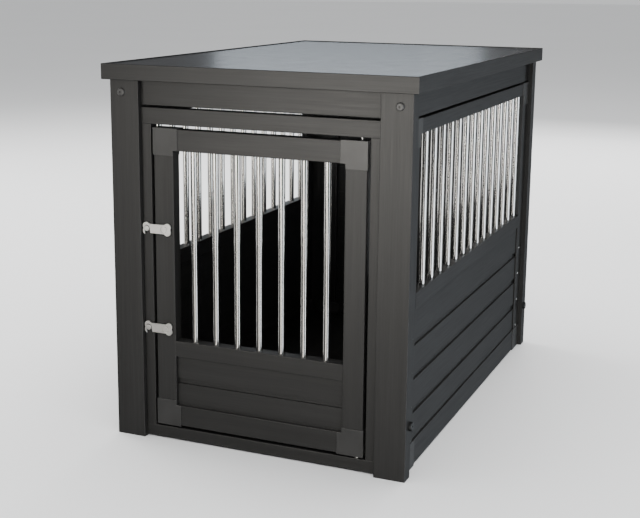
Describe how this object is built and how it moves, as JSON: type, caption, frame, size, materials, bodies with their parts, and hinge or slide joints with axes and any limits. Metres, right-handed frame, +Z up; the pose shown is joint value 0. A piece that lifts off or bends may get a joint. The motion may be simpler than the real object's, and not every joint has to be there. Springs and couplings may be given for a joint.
{
  "type": "pet crate end table",
  "caption": "Dark grey furniture-style pet crate with boarded panels, steel tube bars and a hinged front door with two turning latches",
  "frame": {"origin": "middle of the crate's footprint on the floor", "axes": "+X to the right of someone facing the door, +Y from the door to the back, +Z up"},
  "size_m": [0.589, 0.899, 0.691],
  "materials": {
    "charcoal_board": "dark grey foil with fine brushed grain, satin",
    "top_surface": "smooth semi-gloss grey laminate",
    "corner_cap": "moulded grey plastic, satin",
    "stainless_tube": "polished stainless tube",
    "latch_metal": "polished plated steel",
    "pin_steel": "plain steel",
    "bush_plastic": "black moulded plastic",
    "black_bolt": "black coated steel",
    "grey_bolt": "dark grey coated steel",
    "dowel_wood": "bare beech"
  },
  "bodies": {
    "crate": {"back_boards": "charcoal_board", "back_bottom_rail": "charcoal_board", "back_stile_left": "charcoal_board", "back_stile_right": "charcoal_board", "back_top_rail": "charcoal_board", "dowels": "dowel_wood", "floor_cleats": "charcoal_board", "floor_panel": "charcoal_board", "frame_bolts": "black_bolt", "front_frame_bottom_rail": "charcoal_board", "front_frame_stile_left": "charcoal_board", "front_frame_stile_right": "charcoal_board", "front_frame_top_rail": "charcoal_board", "header_back": "charcoal_board", "header_bolts": "grey_bolt", "header_front": "charcoal_board", "header_left": "charcoal_board", "header_right": "charcoal_board", "hinge_pin_bottom": "pin_steel", "hinge_pin_top": "pin_steel", "latch_pegs": "latch_metal", "left_bars": "stainless_tube", "left_boards": "charcoal_board", "left_bottom_rail": "charcoal_board", "left_mid_rail": "charcoal_board", "left_stile_back": "charcoal_board", "left_stile_front": "charcoal_board", "left_top_rail": "charcoal_board", "panel_corner_caps": "corner_cap", "post_back_left": "charcoal_board", "post_back_right": "charcoal_board", "post_front_left": "charcoal_board", "post_front_right": "charcoal_board", "right_bars": "stainless_tube", "right_boards": "charcoal_board", "right_bottom_rail": "charcoal_board", "right_mid_rail": "charcoal_board", "right_stile_back": "charcoal_board", "right_stile_front": "charcoal_board", "right_top_rail": "charcoal_board", "stile_screws": "pin_steel", "top_frame_back": "charcoal_board", "top_frame_front": "charcoal_board", "top_frame_left": "charcoal_board", "top_frame_right": "charcoal_board", "top_panel": "top_surface"},
    "door": {"door_stile_left": "charcoal_board", "door_stile_right": "charcoal_board", "door_top_rail": "charcoal_board", "door_mid_rail": "charcoal_board", "door_bottom_rail": "charcoal_board", "door_boards": "charcoal_board", "door_bars": "stainless_tube", "door_corner_caps": "corner_cap", "hinge_bushes": "bush_plastic", "latch_rivets": "latch_metal"},
    "upper_latch": {"upper_latch_lever": "latch_metal"},
    "lower_latch": {"lower_latch_lever": "latch_metal"}
  },
  "joints": [
    {"name": "door_hinge", "type": "hinge", "parent": "crate", "child": "door", "pos_m": [0.19, -0.4195, 0.30425], "axis": [0, 0, 1], "range_deg": [0, 110]},
    {"name": "upper_latch_pivot", "type": "hinge", "parent": "door", "child": "upper_latch", "pos_m": [-0.182, -0.4285, 0.3975], "axis": [0, 1, 0], "range_deg": [0, 100]},
    {"name": "lower_latch_pivot", "type": "hinge", "parent": "door", "child": "lower_latch", "pos_m": [-0.182, -0.4285, 0.2125], "axis": [0, 1, 0], "range_deg": [0, 100]}
  ]
}
